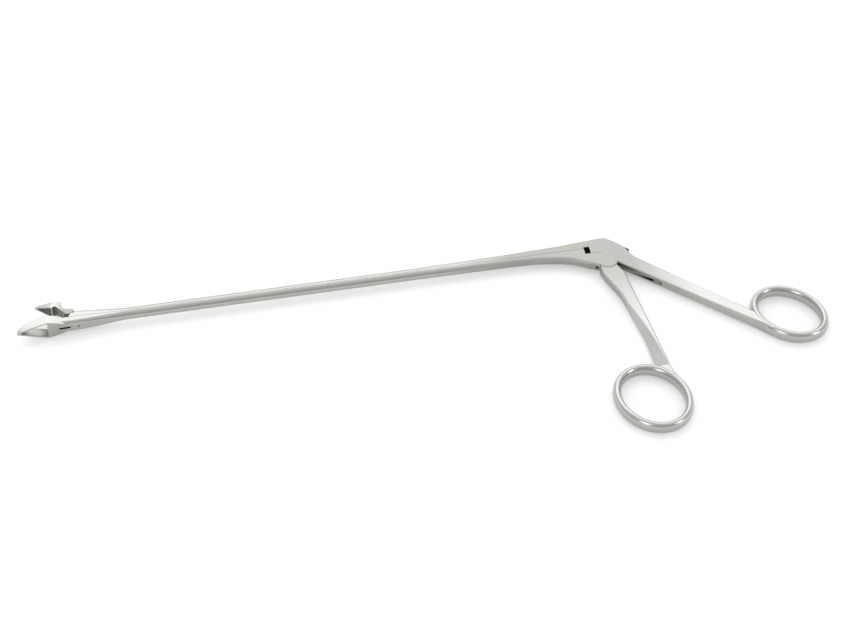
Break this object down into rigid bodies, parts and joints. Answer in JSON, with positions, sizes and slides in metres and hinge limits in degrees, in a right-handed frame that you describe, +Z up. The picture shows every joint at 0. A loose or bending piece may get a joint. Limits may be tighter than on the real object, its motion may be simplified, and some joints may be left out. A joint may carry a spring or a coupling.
{
  "type": "biopsy forceps",
  "caption": "Long-shafted biopsy forceps: a sliding split shaft works a hinged cup jaw against an open basket jaw, and angled handles end in finger rings.",
  "frame": {"origin": "middle of the footprint of the bounding box, on the surface that the instrument lies on", "axes": "+X along the shaft from the jaws towards the handles, +Y towards the back of the instrument, +Z up through its thickness"},
  "size_m": [0.3376, 0.1126, 0.0096],
  "materials": {
    "satin_steel": "satin",
    "dull_steel": "dull",
    "polished_steel": "polished"
  },
  "bodies": {
    "body": {"fixed_shaft": "satin_steel", "jaw_hinge_pin": "polished_steel", "handle_pivot_pin": "polished_steel", "spring_pin": "polished_steel"},
    "lever": {"front_handle": "satin_steel"},
    "slider": {"sliding_shaft": "satin_steel", "jaw_link_pin": "polished_steel"},
    "jaw": {"upper_jaw": "satin_steel"},
    "leaf": {"return_spring": "dull_steel"}
  },
  "joints": [
    {"name": "handle_swing", "type": "hinge", "parent": "body", "child": "lever", "pos_m": [0.08424, 0.03813, 0.0048], "axis": [0, 0, 1], "range_deg": [0, 15.58], "stiffness_Nm_per_rad": 0.08, "springref_deg": -8.59},
    {"name": "shaft_slide", "type": "slide", "parent": "body", "child": "slider", "axis": [-1, 0, 0], "range_m": [0, 0.00216]},
    {"name": "jaw_swing", "type": "hinge", "parent": "body", "child": "jaw", "pos_m": [-0.14646, 0.04453, 0.0048], "axis": [0, 0, 1], "range_deg": [0, 38.05]},
    {"name": "leaf_bend", "type": "hinge", "parent": "body", "child": "leaf", "pos_m": [0.10273, 0.02448, 0.0048], "axis": [0, 0, -1], "range_deg": [0, 4.9]}
  ],
  "couplings": [
    {"joint": "shaft_slide", "follows": "handle_swing", "m_per_rad": 0.0079},
    {"joint": "jaw_swing", "follows": "handle_swing", "ratio": 2.4384},
    {"joint": "leaf_bend", "follows": "handle_swing", "ratio": 0.31}
  ]
}
